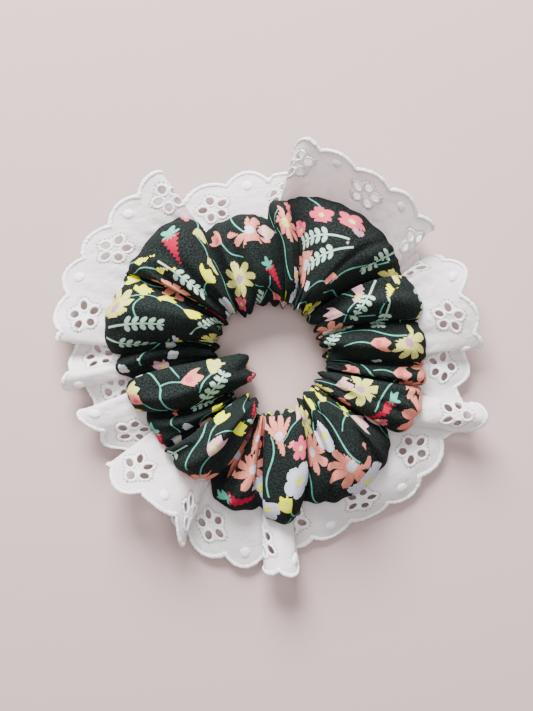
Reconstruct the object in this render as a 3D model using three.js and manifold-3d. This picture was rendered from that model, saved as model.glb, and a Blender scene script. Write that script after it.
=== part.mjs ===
// A scrunchie: a gathered cloth casing round a loop of elastic, with a strip of
// eyelet lace caught in its outer seam. Millimetres, +Z up, resting on z = 0.
import * as THREE from 'three';
import { mergeVertices } from 'three/addons/utils/BufferGeometryUtils.js';
import Module from 'manifold-3d';

const wasm = await Module();
wasm.setup();

// Driving dimensions.
const elasticRadius = 20.5;
const elasticWidth = 6;
const elasticThickness = 1.2;
const clothThickness = 0.9;
const laceThickness = 0.8;
const clearance = 0.3;
const holeRadius = 16.5;
const seamHeight = 7;
const headingDepth = 4;
const laceDepth = 24;
const flowerCount = 22;
const flowerRadius = 5.6;
const threadRadius = 0.3;
const edgeCordRadius = 0.6;

// Worked out from them.
const slitHalf = laceThickness / 2 + clearance;
const elasticHeight = seamHeight;
const scallopDepth = laceDepth * 0.12;
const flowerMiddle = laceDepth * 0.62;
const dotMiddle = laceDepth * 0.77;
const gatherReach = 46;
const gatherTop = 15;
const stripEndGap = 0.4;

// The cloth's puffs, anticlockwise from firstPuffStart: the angle each one fills,
// how far its seam stands out from the middle, and the height of its crest.
const firstPuffStart = -3;
const puffs = [
  { spread: 18, reach: 54, top: 18 },
  { spread: 18, reach: 55.5, top: 20 },
  { spread: 56, reach: 56, top: 25 },
  { spread: 28, reach: 49, top: 22 },
  { spread: 34, reach: 56.5, top: 24 },
  { spread: 28, reach: 55, top: 23 },
  { spread: 10, reach: 52, top: 16 },
  { spread: 14, reach: 50, top: 18 },
  { spread: 18, reach: 47.5, top: 18 },
  { spread: 24, reach: 47, top: 24 },
  { spread: 22, reach: 52, top: 17 },
  { spread: 12, reach: 56, top: 18 },
  { spread: 50, reach: 54, top: 21 },
  { spread: 20, reach: 54, top: 19 },
  { spread: 8, reach: 54, top: 16 },
];

// The lace's crests and hollows: where the free edge stands and how high it lifts.
const ruffles = [
  { at: 5, reach: 71, rise: 7 },
  { at: 14, reach: 71.5, rise: 12 },
  { at: 25, reach: 70.5, rise: 15 },
  { at: 33, reach: 63, rise: 5 },
  { at: 42, reach: 72, rise: 22 },
  { at: 58, reach: 73, rise: 28 },
  { at: 78, reach: 74, rise: 30 },
  { at: 90, reach: 65, rise: 6 },
  { at: 103, reach: 63.5, rise: 4 },
  { at: 117, reach: 65, rise: 4 },
  { at: 125, reach: 73, rise: 9 },
  { at: 142, reach: 73, rise: 7 },
  { at: 160, reach: 75, rise: 6 },
  { at: 172, reach: 73, rise: 9 },
  { at: 178, reach: 65, rise: 3 },
  { at: 185, reach: 69, rise: 11 },
  { at: 191, reach: 63, rise: 3 },
  { at: 198, reach: 66, rise: 10 },
  { at: 207, reach: 61, rise: 3 },
  { at: 217, reach: 66, rise: 13 },
  { at: 230, reach: 63, rise: 15 },
  { at: 243, reach: 69, rise: 9 },
  { at: 252, reach: 69, rise: 3 },
  { at: 264, reach: 69, rise: 4 },
  { at: 273, reach: 73, rise: 9 },
  { at: 281, reach: 67, rise: 3 },
  { at: 300, reach: 64, rise: 2 },
  { at: 318, reach: 64, rise: 3 },
  { at: 334, reach: 68, rise: 5 },
  { at: 343, reach: 75, rise: 13 },
  { at: 351, reach: 66, rise: 4 },
];

const group = new THREE.Group();
const radians = THREE.MathUtils.degToRad;
const mix = THREE.MathUtils.lerp;
const wrap = (angle) => THREE.MathUtils.euclideanModulo(angle, 360);

function add(name, geometry, color, roughness = 0.9) {
  const material = new THREE.MeshStandardMaterial({ color, roughness, metalness: 0 });
  const mesh = new THREE.Mesh(geometry, material);
  mesh.name = name;
  group.add(mesh);
  return mesh;
}

// The shape of the ring at an angle in degrees.

function casingAt(angle) {
  let start = firstPuffStart;
  const turned = wrap(angle - start) + start;
  for (const puff of puffs) {
    if (turned <= start + puff.spread) {
      const across = (2 * (turned - start)) / puff.spread - 1;
      const swell = Math.max(0, Math.cos((across * Math.PI) / 2)) ** 0.6;
      return {
        reach: mix(gatherReach, puff.reach, swell),
        top: mix(gatherTop, puff.top, swell),
      };
    }
    start += puff.spread;
  }
  throw new Error('the puffs fill less than a full turn');
}

function ruffleAt(angle) {
  const turned = wrap(angle);
  let next = ruffles.findIndex((ruffle) => ruffle.at > turned);
  if (next < 0) next = 0;
  const before = ruffles[(next + ruffles.length - 1) % ruffles.length];
  const after = ruffles[next];
  const part = wrap(turned - before.at) / wrap(after.at - before.at);
  const eased = (1 - Math.cos(part * Math.PI)) / 2;
  return {
    reach: mix(before.reach, after.reach, eased),
    rise: mix(before.rise, after.rise, eased),
  };
}

function around(angle, radius, height) {
  const turn = radians(angle);
  return new THREE.Vector3(radius * Math.cos(turn), radius * Math.sin(turn), height);
}

// The middle surface of the lace, across from the seam (0) to the free edge (laceDepth).
function laceSurface(angle, across) {
  const seam = casingAt(angle).reach;
  if (across <= 0) return around(angle, seam + across, seamHeight);
  const edge = ruffleAt(angle);
  const out = across / laceDepth;
  const lift = THREE.MathUtils.smoothstep(across, 2.5, laceDepth);
  return around(angle, mix(seam, edge.reach, out), mix(seamHeight, edge.rise, lift));
}

// Equal lengths of lace take equal steps along the line through the flowers.
const laceStart = 349;
const measureSteps = 720;
const lengths = [0];
for (let step = 1; step <= measureSteps; step += 1) {
  const here = laceSurface(laceStart + (step * 360) / measureSteps, flowerMiddle);
  const last = laceSurface(laceStart + ((step - 1) * 360) / measureSteps, flowerMiddle);
  lengths.push(lengths[step - 1] + here.distanceTo(last));
}
const laceLength = lengths[measureSteps];
const pitch = laceLength / flowerCount;

// The strip runs clockwise, so that its right side faces up.
function angleAlong(along) {
  const length = THREE.MathUtils.clamp(laceLength - along, 0.001, laceLength);
  const reached = lengths.findIndex((measured) => measured >= length);
  const part = (length - lengths[reached - 1]) / (lengths[reached] - lengths[reached - 1]);
  return ((reached - 1 + part) * 360) / measureSteps + laceStart;
}

// Flat lace coordinates (along, across, above) to a place on the ruffled strip.
function onLace(along, across, above) {
  const angle = angleAlong(along);
  const step = 0.05;
  const place = laceSurface(angle, across);
  const onward = laceSurface(angle + step, across).sub(laceSurface(angle - step, across));
  const outward = laceSurface(angle, across + step).sub(laceSurface(angle, across - step));
  const normal = outward.cross(onward).normalize();
  return place.addScaledVector(normal, above);
}

// The free edge has two scallops to each flower.
function edgeAt(along) {
  const scallop = Math.abs(Math.sin((along / pitch) * 2 * Math.PI));
  return laceDepth - scallopDepth * (1 - scallop ** 0.6);
}

function mapToLace(geometry) {
  const points = geometry.attributes.position;
  for (let index = 0; index < points.count; index += 1) {
    const flat = new THREE.Vector3().fromBufferAttribute(points, index);
    const mapped = onLace(flat.x, flat.y, flat.z);
    points.setXYZ(index, mapped.x, mapped.y, mapped.z);
  }
  return geometry;
}

// Booleans, done on the flat lace before it is ruffled.

function toManifold(geometry) {
  const bare = geometry.clone();
  bare.deleteAttribute('normal');
  bare.deleteAttribute('uv');
  const merged = mergeVertices(bare, 1e-4);
  return new wasm.Manifold(
    new wasm.Mesh({
      numProp: 3,
      vertProperties: new Float32Array(merged.attributes.position.array),
      triVerts: new Uint32Array(merged.index.array),
    }),
  );
}

function fromManifold(solid) {
  const mesh = solid.getMesh();
  const geometry = new THREE.BufferGeometry();
  geometry.setAttribute('position', new THREE.BufferAttribute(mesh.vertProperties, 3));
  geometry.setIndex(new THREE.BufferAttribute(mesh.triVerts, 1));
  return geometry;
}

// A loop of equal sections joined into one closed tube; sections run round the ring.
function loopTube(sections) {
  const sides = sections[0].length;
  const places = sections.flat().flatMap((point) => point.toArray());
  const faces = [];
  for (let step = 0; step < sections.length; step += 1) {
    const onward = ((step + 1) % sections.length) * sides;
    const here = step * sides;
    for (let side = 0; side < sides; side += 1) {
      const beside = (side + 1) % sides;
      faces.push(here + side, onward + side, onward + beside);
      faces.push(here + side, onward + beside, here + beside);
    }
  }
  const geometry = new THREE.BufferGeometry();
  geometry.setAttribute('position', new THREE.Float32BufferAttribute(places, 3));
  geometry.setIndex(faces);
  return geometry;
}

// The cover: a strip folded round the elastic, its two long edges held at the outer seam.

function coverSection(angle) {
  const { reach, top } = casingAt(angle);
  const outer = [
    [reach, seamHeight + slitHalf],
    [reach - 2, seamHeight + slitHalf + 3.2],
    [reach - 9, top - 2.5],
    [reach - 18, top],
    [holeRadius + 8, top - 1],
    [holeRadius + 1.5, top - 3.6],
    [holeRadius, elasticHeight],
    [holeRadius + 1.5, 2],
    [holeRadius + 5, 0],
    [reach - 7, 0],
    [reach - 2, 2.5],
    [reach, seamHeight - slitHalf],
  ];
  const wall = clothThickness;
  const inner = [
    [reach - wall, seamHeight - slitHalf],
    [reach - 2.6, 3.6],
    [reach - 7.3, wall],
    [holeRadius + 5.3, wall],
    [holeRadius + 2.3, 2.7],
    [holeRadius + wall, elasticHeight],
    [holeRadius + 2.3, top - 4.4],
    [holeRadius + 8.2, top - 1 - wall],
    [reach - 18, top - wall],
    [reach - 9.4, top - 3.4],
    [reach - 2.7, seamHeight + slitHalf + 2.6],
    [reach - wall, seamHeight + slitHalf],
  ];
  return [...outer, ...inner].map(([radius, height]) => around(angle, radius, height));
}

// The angles where the casing has a section: at least four to each puff.
function casingAngles() {
  const angles = [];
  let start = firstPuffStart;
  for (const puff of puffs) {
    const steps = Math.max(4, Math.round(puff.spread / 5));
    for (let step = 0; step < steps; step += 1) {
      angles.push(start + (puff.spread * step) / steps);
    }
    start += puff.spread;
  }
  return angles;
}

function makeCover() {
  return add('fabric_cover', loopTube(casingAngles().map(coverSection)), 0x232b29);
}

// The lace strip, with a round opening for each worked flower.

function discShape(radius, points) {
  const shape = new THREE.Shape();
  for (let point = 0; point < points; point += 1) {
    const turn = (point * 2 * Math.PI) / points;
    const [x, y] = [radius * Math.cos(turn), radius * Math.sin(turn)];
    if (point === 0) shape.moveTo(x, y);
    else shape.lineTo(x, y);
  }
  shape.closePath();
  return shape;
}

const flowerAlong = (index) => (index + 0.75) * pitch;
const dotAlong = (index) => (index + 0.25) * pitch;

function makeLace() {
  const columns = flowerCount * 6;
  const rows = 4;
  const width = laceDepth + headingDepth;
  const slab = new THREE.BoxGeometry(laceLength, width, laceThickness, columns, rows, 1);
  slab.translate(laceLength / 2, width / 2 - headingDepth, 0);
  let solid = toManifold(slab);
  const plug = new THREE.ExtrudeGeometry(discShape(flowerRadius + clearance, 12), {
    depth: laceThickness * 4,
    bevelEnabled: false,
  });
  for (let index = 0; index < flowerCount; index += 1) {
    const hole = plug.clone().translate(flowerAlong(index), flowerMiddle, -laceThickness * 2);
    solid = solid.subtract(toManifold(hole));
  }
  const geometry = fromManifold(solid);
  const points = geometry.attributes.position;
  const steady = flowerMiddle + flowerRadius;
  const endTrim = 1 - stripEndGap / laceLength;
  for (let index = 0; index < points.count; index += 1) {
    const across = points.getY(index);
    const along = stripEndGap / 2 + points.getX(index) * endTrim;
    if (across > steady) {
      const part = (across - steady) / (laceDepth - steady);
      points.setY(index, mix(steady, edgeAt(along), part));
    }
    points.setX(index, along);
  }
  return add('lace_trim', mapToLace(geometry), 0xf1eff0);
}

function makeEdgeCord() {
  const length = laceLength - stripEndGap;
  const columns = flowerCount * 6;
  const cord = new THREE.CylinderGeometry(edgeCordRadius, edgeCordRadius, length, 4, columns);
  cord.rotateZ(-Math.PI / 2);
  cord.translate(laceLength / 2, 0, 0);
  const points = cord.attributes.position;
  for (let index = 0; index < points.count; index += 1) {
    const edge = edgeAt(points.getX(index)) + clearance + edgeCordRadius;
    points.setY(index, points.getY(index) + edge);
  }
  return add('scallop_edge_cord', mapToLace(cord), 0xf4f2f0);
}

function makeFlowers() {
  const petalRing = flowerRadius * 0.54;
  const petalRadius = flowerRadius * 0.24;
  const petals = 5;
  const shape = discShape(flowerRadius, 12);
  for (let petal = 0; petal < petals; petal += 1) {
    const turn = Math.PI / 2 + (petal * 2 * Math.PI) / petals;
    const hole = discShape(petalRadius, 5).getPoints();
    const [x, y] = [petalRing * Math.cos(turn), petalRing * Math.sin(turn)];
    shape.holes.push(new THREE.Path(hole.map((point) => point.add(new THREE.Vector2(x, y)))));
  }
  const depth = laceThickness + 0.4;
  const flower = new THREE.ExtrudeGeometry(shape, { depth, bevelEnabled: false });
  for (let index = 0; index < flowerCount; index += 1) {
    const placed = flower.clone().translate(flowerAlong(index), flowerMiddle, -depth / 2);
    const number = String(index + 1).padStart(2, '0');
    add(`eyelet_flower_${number}`, mapToLace(placed), 0xf8f6f4, 0.7);
  }
}

function makeDots() {
  const halfHeight = 0.6;
  const dot = new THREE.SphereGeometry(1.4, 6, 4);
  dot.rotateX(Math.PI / 2);
  dot.scale(1, 1, halfHeight / 1.4);
  const above = laceThickness / 2 + 2 * clearance + halfHeight;
  for (let index = 0; index < flowerCount; index += 1) {
    const placed = dot.clone().translate(dotAlong(index), dotMiddle, above);
    const number = String(index + 1).padStart(2, '0');
    add(`raised_dot_${number}`, mapToLace(placed), 0xf8f6f4, 0.7);
  }
}

// The elastic loop stands on edge in the casing's inner fold.

function makeElastic() {
  const steps = 48;
  const sections = [];
  for (let step = 0; step < steps; step += 1) {
    const angle = (step * 360) / steps;
    const inside = elasticRadius - elasticThickness / 2;
    const outside = elasticRadius + elasticThickness / 2;
    const low = elasticHeight - elasticWidth / 2;
    const high = elasticHeight + elasticWidth / 2;
    sections.push([
      around(angle, outside, low),
      around(angle, outside, high),
      around(angle, inside, high),
      around(angle, inside, low),
    ]);
  }
  return add('elastic_band', loopTube(sections), 0xf0eee6);
}

// A thread through the given places: square in section, open at both ends.
function thread(name, places, color, steps) {
  const path = new THREE.CatmullRomCurve3(places);
  const radius = threadRadius;
  const section = discShape(radius, 4);
  const options = { extrudePath: path, steps, bevelEnabled: false };
  return add(name, new THREE.ExtrudeGeometry(section, options), color);
}

function makeElasticStitches() {
  const places = [];
  const zigzags = 8;
  const face = elasticRadius + elasticThickness / 2 + clearance + threadRadius;
  for (let turn = 0; turn <= zigzags; turn += 1) {
    const side = turn % 2 === 0 ? -1 : 1;
    const angle = (turn - zigzags / 2) * 2.4;
    places.push(around(angle, face, elasticHeight + side * elasticWidth * 0.38));
  }
  return thread('elastic_join_stitches', places, 0xf4f2ee, zigzags * 4);
}

// The long seam's two threads lie on either face of the lace heading, inside the casing.
function makeSeamThread(name, side) {
  const height = seamHeight + side * (laceThickness / 2 + clearance + threadRadius);
  const sections = casingAngles().map((angle, step) => {
    const weave = (step % 2 === 0 ? -1 : 1) * 0.15;
    const middle = casingAt(angle).reach - 3.4 + weave;
    return [
      around(angle, middle + threadRadius, height),
      around(angle, middle, height + threadRadius),
      around(angle, middle - threadRadius, height),
      around(angle, middle, height - threadRadius),
    ];
  });
  return add(name, loopTube(sections), 0x1c2322);
}

// Hand stitches over the crest of the cloth, where the cover's ends meet.
function makeClosingThread() {
  const angle = 345;
  const { reach, top } = casingAt(angle);
  const above = clearance + threadRadius + 0.3;
  const places = [];
  const stitches = 9;
  for (let stitch = 0; stitch <= stitches; stitch += 1) {
    const out = stitch / stitches;
    const radius = mix(holeRadius + 9, reach - 18, out);
    const side = stitch % 2 === 0 ? -1 : 1;
    places.push(around(angle + side * 1.2, radius, mix(top - 1, top, out) + above));
  }
  return thread('cover_closing_thread', places, 0x1c2322, stitches * 3);
}

// Stitches that join the two ends of the lace strip.
function makeLaceJoinThread() {
  const places = [];
  const stitches = 8;
  const above = laceThickness / 2 + clearance + threadRadius;
  for (let stitch = 0; stitch <= stitches; stitch += 1) {
    const across = mix(3, laceDepth - scallopDepth - 1.5, stitch / stitches);
    const side = stitch % 2 === 0 ? 0.9 : 1.7;
    places.push(onLace(side, across, above));
  }
  return thread('lace_join_thread', places, 0xf4f2ee, stitches * 3);
}

makeCover();
makeLace();
makeElastic();
makeElasticStitches();
makeSeamThread('seam_needle_thread', 1);
makeSeamThread('seam_bobbin_thread', -1);
makeClosingThread();
makeLaceJoinThread();
makeEdgeCord();
makeFlowers();
makeDots();

// The origin is the middle of the box on the plane it rests on.
const box = new THREE.Box3().setFromObject(group, true);
const middle = box.getCenter(new THREE.Vector3());
group.position.set(-middle.x, -middle.y, -box.min.z);

export default group;
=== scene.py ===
import math
import random

import bpy
import numpy as np
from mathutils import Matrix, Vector
from mathutils.geometry import delaunay_2d_cdt


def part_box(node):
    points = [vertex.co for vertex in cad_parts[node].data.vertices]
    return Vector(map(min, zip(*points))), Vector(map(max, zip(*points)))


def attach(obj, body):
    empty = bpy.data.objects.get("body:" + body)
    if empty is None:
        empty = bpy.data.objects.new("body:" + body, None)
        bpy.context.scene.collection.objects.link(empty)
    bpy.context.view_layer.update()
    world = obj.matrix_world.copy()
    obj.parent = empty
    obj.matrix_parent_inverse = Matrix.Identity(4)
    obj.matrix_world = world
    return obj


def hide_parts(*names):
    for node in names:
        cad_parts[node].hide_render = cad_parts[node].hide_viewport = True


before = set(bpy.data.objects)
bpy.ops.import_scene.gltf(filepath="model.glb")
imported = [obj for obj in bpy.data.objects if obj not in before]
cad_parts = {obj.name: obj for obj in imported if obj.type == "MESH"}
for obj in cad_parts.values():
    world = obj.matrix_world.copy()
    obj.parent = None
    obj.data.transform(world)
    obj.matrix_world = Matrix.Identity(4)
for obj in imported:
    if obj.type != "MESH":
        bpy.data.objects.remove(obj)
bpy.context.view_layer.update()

MM = 0.001
TAU = 2 * math.pi

# The ring's middle is the elastic's, from the frame. All sizes below are millimetres from there.
BAND_HALF = 0.6
BAND_LOW, BAND_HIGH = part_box("elastic_band")
CENTRE_X = (BAND_LOW[0] + BAND_HIGH[0]) / 2
CENTRE_Y = (BAND_LOW[1] + BAND_HIGH[1]) / 2
SEAM_HEIGHT = (BAND_LOW[2] + BAND_HIGH[2]) / 2 / MM
BAND_WIDTH = (BAND_HIGH[2] - BAND_LOW[2]) / MM
BAND_RADIUS = (BAND_HIGH[0] - BAND_LOW[0]) / 2 / MM - BAND_HALF

# The lace: how wide it shows, how many flowers, and its flat cut.
LACE_DEPTH = 24.0
HEADING = 5.0
FLOWERS = 22
PITCH = 22.5
SCALLOP_DEPTH = 3.2
FLOWER_MIDDLE = 14.6
DOT_MIDDLE = 19.4
DOT_RISE = 0.65
DOT_LIFT = 0.1
DOT_WIDE, DOT_LONG = 1.45, 1.75
EDGE_CORD = 0.72

# Each puff of the cover, anticlockwise: the crease that starts it, by the angle of its outer and
# inner ends and its distance out, then how far the puff reaches, how high its crest is, the radius
# of its inner end, and how far it leans over the crease before it (+) or under it (-).
PUFFS = [
    # outer, inner, notch, reach, top, inner radius, lean
    (-2, -1, 53.0, 53.8, 20, 17.0, 1.0),
    (14, 26, 51.0, 55.5, 23, 17.0, 1.0),
    (31, 47, 53.0, 57.5, 27, 18.0, -1.5),
    (84, 66, 53.5, 54.0, 23, 18.5, 1.0),
    (91, 72, 47.5, 50.0, 22, 15.5, -1.0),
    (117, 124, 48.0, 58.0, 26, 18.5, 1.5),
    (150, 138, 57.0, 57.5, 24, 17.5, -1.0),
    (179, 164, 51.5, 52.8, 17, 16.5, -1.0),
    (189, 182, 47.0, 50.5, 23, 6.0, 1.5),
    (202, 222, 45.5, 47.5, 19, 16.5, -1.0),
    (221, 232, 47.0, 49.0, 27, 13.0, 1.5),
    (243, 257, 45.0, 53.5, 17, 18.5, -2.0),
    (268, 266, 52.0, 57.0, 21, 17.5, 1.5),
    (281, 302, 49.0, 55.0, 24, 16.0, -1.0),
    (329, 330, 46.5, 54.8, 21, 16.5, 1.0),
    (349, 346, 52.0, 54.5, 18, 18.0, -1.0),
]

# The lace's folds, anticlockwise: where each leaves the seam and where its free edge lies, by
# angle, how far out and how high that edge is, and how high the cloth arches between them.
FOLDS = [
    # seam, edge, out, rise, arch
    (1, 3, 70.5, 8, 2),
    (7, 6, 72, 11, 2),
    (13, 13, 71, 14, 2),
    (19, 19, 70, 15, 2),
    (24, 24.5, 72, 14, 2),
    (28, 29.5, 69.5, 12, 2),
    (30, 33, 62, 8, 1),
    (31, 29.5, 60, 3, 0),
    (33, 36.5, 61.5, 3, 0),
    (34, 41, 66, 5, 0),
    (35.5, 38.5, 70, 16, 1),
    (40, 44, 71, 22, 1),
    (50, 52, 71.5, 26, 1),
    (61, 61, 71, 28, 1),
    (72, 72, 72.5, 30, 1),
    (83, 80.5, 74.5, 30, 1),
    (87.5, 83, 70, 20, 1),
    (88, 78, 64, 8, 0),
    (89, 86, 62, 5, 0),
    (97, 97, 62.5, 4, 1),
    (106, 107, 61.5, 4, 1),
    (113, 117, 62, 3, 0),
    (115, 123, 63, 3, 0),
    (116.5, 123, 70, 7, 0),
    (118, 120.5, 73, 11, 1),
    (125, 129.5, 72.5, 10, 1.5),
    (134, 139, 72, 8, 2),
    (143, 148.5, 73, 7, 2),
    (153, 158, 74, 6, 2),
    (163, 166, 73, 7, 2),
    (171, 172, 73.5, 10, 2),
    (176, 175.5, 71, 9, 1),
    (177.5, 171, 67, 3, 0),
    (179, 177.5, 65.5, 2.5, 0),
    (181.5, 182, 67.5, 7, 1),
    (184, 185.5, 70, 13, 1),
    (187, 189, 68.5, 8, 1),
    (188.5, 187, 64, 3, 0),
    (190, 193, 60.5, 2.5, 0),
    (191.5, 196.5, 62, 4, 0),
    (193, 196, 67, 11, 1),
    (199, 202, 64.5, 10, 1),
    (205, 207.5, 62.5, 5, 1),
    (209, 213, 57.5, 3, 0),
    (211, 218, 60, 4, 0),
    (212, 213.5, 66, 12, 1),
    (220, 221.5, 67, 16, 1),
    (228, 231, 62.5, 17, 1),
    (236, 239.5, 64, 15, 1),
    (242, 245, 69.5, 10, 1),
    (243.5, 243, 66, 4, 0),
    (244.5, 239, 63, 2.5, 0),
    (246, 247, 68, 2.5, 0),
    (253, 256, 70, 3, 1),
    (260, 263, 70.5, 3, 1),
    (265.5, 270, 68, 3, 0),
    (267.5, 268.5, 71, 9, 0),
    (272, 272.5, 74, 13, 1),
    (277, 277, 73, 11, 1),
    (279.5, 277.5, 68, 4, 0),
    (281, 275, 64, 2.5, 0),
    (284, 282.5, 64.5, 2, 2),
    (293, 292.5, 63, 2, 4),
    (302, 303, 63, 2, 5),
    (311, 312.5, 65.5, 2.5, 5),
    (319, 322, 66.5, 3, 4),
    (326, 330, 66.5, 3.5, 2),
    (331, 338, 67, 4, 0),
    (333.5, 340.5, 74, 9, 1),
    (338.5, 344, 75.5, 15, 1),
    (344, 347.5, 73, 13, 1),
    (347, 346, 68, 5, 0),
    (350, 350, 65, 3, 1),
    (355, 355, 67, 4, 1),
    (358.5, 361, 66, 3, 0),
    (360, 365, 67, 4, 0),
]


def smooth(low, high, value):
    part = np.clip((value - low) / (high - low), 0, 1)
    return part * part * (3 - 2 * part)


def mix(first, second, part):
    return first + (second - first) * part


def ring(angle, radius, height):
    """Places in millimetres, from an angle in degrees, a distance out and a height."""
    turn = np.radians(angle)
    return np.stack([radius * np.cos(turn), radius * np.sin(turn), height], axis=-1)


def placed(points):
    return np.asarray(points) * MM + np.array([CENTRE_X, CENTRE_Y, 0])


def add_mesh(name, points, faces, material, body="cover", shade=True):
    mesh = bpy.data.meshes.new(name)
    mesh.from_pydata(placed(points).tolist(), [], [tuple(map(int, face)) for face in faces])
    mesh.update()
    piece = bpy.data.objects.new(name, mesh)
    bpy.context.scene.collection.objects.link(piece)
    mesh.materials.append(material)
    if shade:
        mesh.shade_smooth()
    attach(piece, body)
    return piece


def grid_faces(rows, columns, closed_rows=False, closed_columns=False):
    row = np.arange(rows if closed_rows else rows - 1)
    column = np.arange(columns if closed_columns else columns - 1)
    here, across = np.meshgrid(row, column, indexing="ij")
    onward, beside = (here + 1) % rows, (across + 1) % columns
    corners = [here * columns + across, here * columns + beside]
    corners += [onward * columns + beside, onward * columns + across]
    return np.stack(corners, axis=-1).reshape(-1, 4)


def store(piece, name, values, kind="FLOAT_VECTOR", domain="POINT"):
    layer = piece.data.attributes.new(name, kind, domain)
    field = "vector" if kind == "FLOAT_VECTOR" else "value"
    layer.data.foreach_set(field, np.asarray(values, np.float32).ravel())


# --- Where the lace's folds want the seam --------------------------------------------------


def fold_table():
    """FOLDS with one more row at each end, so that it can be read round the ring."""
    rows = np.array(FOLDS, float)
    turn = np.array([360, 360, 0, 0, 0])
    return np.concatenate([rows[-1:] - turn, rows, rows[:2] + turn])


def wanted_seam(angle):
    """How far out and how high the seam lies, so that the lace beyond it keeps its width."""
    seam_angle, _, out, rise, _ = np.array(FOLDS, float).T
    height = np.clip(3.5 + 0.4 * rise, 4, 12)
    lifted = np.minimum(np.abs(rise - height), LACE_DEPTH * 0.9)
    reach = out - np.sqrt(LACE_DEPTH**2 - lifted**2)
    return [np.interp(angle, seam_angle, values, period=360) for values in (reach, height)]


# --- The cover: one gathered tube of cloth -------------------------------------------------

COLUMNS_PER_DEGREE = 2.2
PLEAT_WIDTH = 3.0
# How deep the pleats and gathers are, and how many degrees the longer ones fill.
CREST_PLEAT, WALL_PLEAT, UNDER_GATHER, SEAM_GATHER = 0.9, 2.2, 2.0, 0.5
UNDER_STEP, SEAM_STEP = 5, 6
# The least gap between the cloth at the hole and the middle of the band.
BAND_GAP = 0.9
KNOB_FROM = 12
TOP_ROWS, UNDER_ROWS = 64, 34
LEAST_TUCK, MOST_TUCK = 1.2, 9.0


def puff_columns():
    """Each column's puff and place across it, 0 to 1."""
    found = []
    for index, puff in enumerate(PUFFS):
        end = PUFFS[(index + 1) % len(PUFFS)][0]
        count = max(14, round(((end - puff[0]) % 360) * COLUMNS_PER_DEGREE))
        found += [(index, step / count) for step in range(count)]
    return found


class Wrinkles:
    """A puff's own soft folds: long dents that run slantwise between the seam and the hole."""

    def __init__(self, draw, span):
        self.shift = draw.uniform(0, TAU)
        self.dents = []
        for _ in range(4 + round(span / 6)):
            start, end = draw.uniform(-0.3, 0.8), draw.uniform(0.4, 1.25)
            at_seam = draw.uniform(0.05, 0.95)
            at_hole = at_seam + draw.uniform(-0.35, 0.35)
            deep, wide = draw.uniform(0.7, 2.0), draw.uniform(0.9, 2.0)
            self.dents.append((start, max(end, start + 0.4), at_seam, at_hole, deep, wide))

    def depth(self, part, span, around):
        total = 0
        across = math.radians(span) * mix(50, 18, np.clip(around, 0, 1))
        for start, end, at_seam, at_hole, deep, wide in self.dents:
            off = (part - mix(at_seam, at_hole, around)) * across / wide
            run = smooth(start, start + 0.25, around) * (1 - smooth(end - 0.25, end, around))
            beside = 0.45 * np.exp(-((off / 2 - 0.9) ** 2) * 4)
            total = total + deep * run * (np.exp(-(off**2)) - beside)
        return total


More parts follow.
